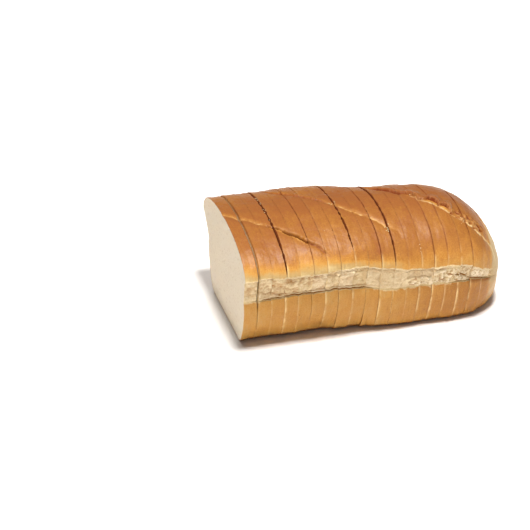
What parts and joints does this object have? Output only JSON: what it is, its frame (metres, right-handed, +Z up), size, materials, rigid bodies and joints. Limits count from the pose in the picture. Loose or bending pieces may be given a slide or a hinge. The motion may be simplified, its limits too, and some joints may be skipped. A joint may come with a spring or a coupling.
{
  "type": "vienna loaf",
  "caption": "Sliced crusty white bread loaf with slanting scores and a torn crumb band along its sides, standing on its flat base with one end cut open.",
  "frame": {"origin": "centre of the loaf's outline in plan, on the surface that the base rests on", "axes": "+X along the loaf towards its heel, away from the open cut end; +Y across the loaf; +Z up"},
  "size_m": [0.2492, 0.1486, 0.102],
  "materials": {
    "bread": "matte"
  },
  "bodies": {
    "root": {"slice_01": "bread", "slice_02": "bread", "slice_03": "bread", "slice_04": "bread", "slice_05": "bread", "slice_06": "bread", "slice_07": "bread", "slice_08": "bread", "slice_09": "bread", "slice_10": "bread", "slice_11": "bread", "slice_12": "bread", "slice_13": "bread", "slice_14": "bread", "slice_15": "bread", "slice_16": "bread", "slice_17": "bread", "slice_18": "bread", "slice_19": "bread", "heel": "bread"}
  },
  "joints": []
}
